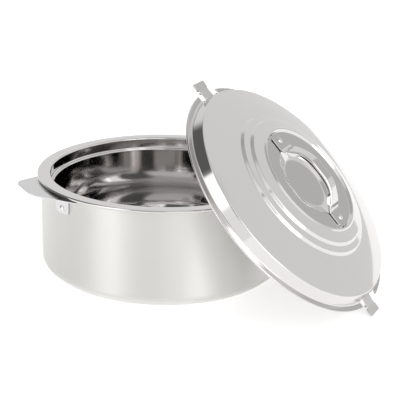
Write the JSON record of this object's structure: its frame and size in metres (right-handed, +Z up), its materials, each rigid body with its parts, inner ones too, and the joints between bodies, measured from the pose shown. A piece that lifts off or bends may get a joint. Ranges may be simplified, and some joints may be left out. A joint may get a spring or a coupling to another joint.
{
  "type": "insulated casserole",
  "caption": "Insulated steel casserole with side handles and a lift-off domed lid that has a strap handle and swinging clips, shown leaning on the pot.",
  "frame": {"origin": "centre of the pot's foot, on the surface that it stands on", "axes": "+Z up along the pot's axis, the side handles along X, and the lid leaning towards +X and -Y"},
  "size_m": [0.3892, 0.42, 0.2342],
  "materials": {
    "satin_steel": "stainless steel, fine circumferential satin brushing",
    "rim_steel": "stainless steel, soft polished",
    "mirror_steel": "stainless steel, mirror polished",
    "matte_steel": "stainless steel, plain rolled",
    "foam": "rigid polyurethane foam",
    "plug_plastic": "moulded polypropylene"
  },
  "bodies": {
    "pot": {"outer_shell": "satin_steel", "inner_bowl": "mirror_steel", "base_plate": "satin_steel", "pot_foam": "foam", "foam_plug": "plug_plastic", "left_side_handle": "rim_steel", "left_handle_rivets": "mirror_steel", "left_handle_washers": "matte_steel", "right_side_handle": "rim_steel", "right_handle_rivets": "mirror_steel", "right_handle_washers": "matte_steel"},
    "lid": {"lid_cover": "mirror_steel", "lid_liner": "mirror_steel", "lid_foam": "foam", "lid_handle": "mirror_steel", "lid_handle_rivets": "mirror_steel", "lid_handle_washers": "matte_steel", "left_clip_pin": "matte_steel", "left_clip_bracket": "matte_steel", "right_clip_pin": "matte_steel", "right_clip_bracket": "matte_steel"},
    "left_clip": {"left_clip": "matte_steel"},
    "right_clip": {"right_clip": "matte_steel"}
  },
  "joints": [
    {"name": "lid_lift", "type": "slide", "parent": "pot", "child": "lid", "axis": [0, 0, 1], "range_m": [0, 0.25]},
    {"name": "left_clip_swing", "type": "hinge", "parent": "lid", "child": "left_clip", "pos_m": [0.02182, -0.0729, 0.21805], "axis": [0.7985, 0.602, 0], "range_deg": [-7, 62]},
    {"name": "right_clip_swing", "type": "hinge", "parent": "lid", "child": "right_clip", "pos_m": [0.13706, -0.22578, 0.02064], "axis": [-0.7985, -0.602, 0], "range_deg": [0, 69]}
  ]
}
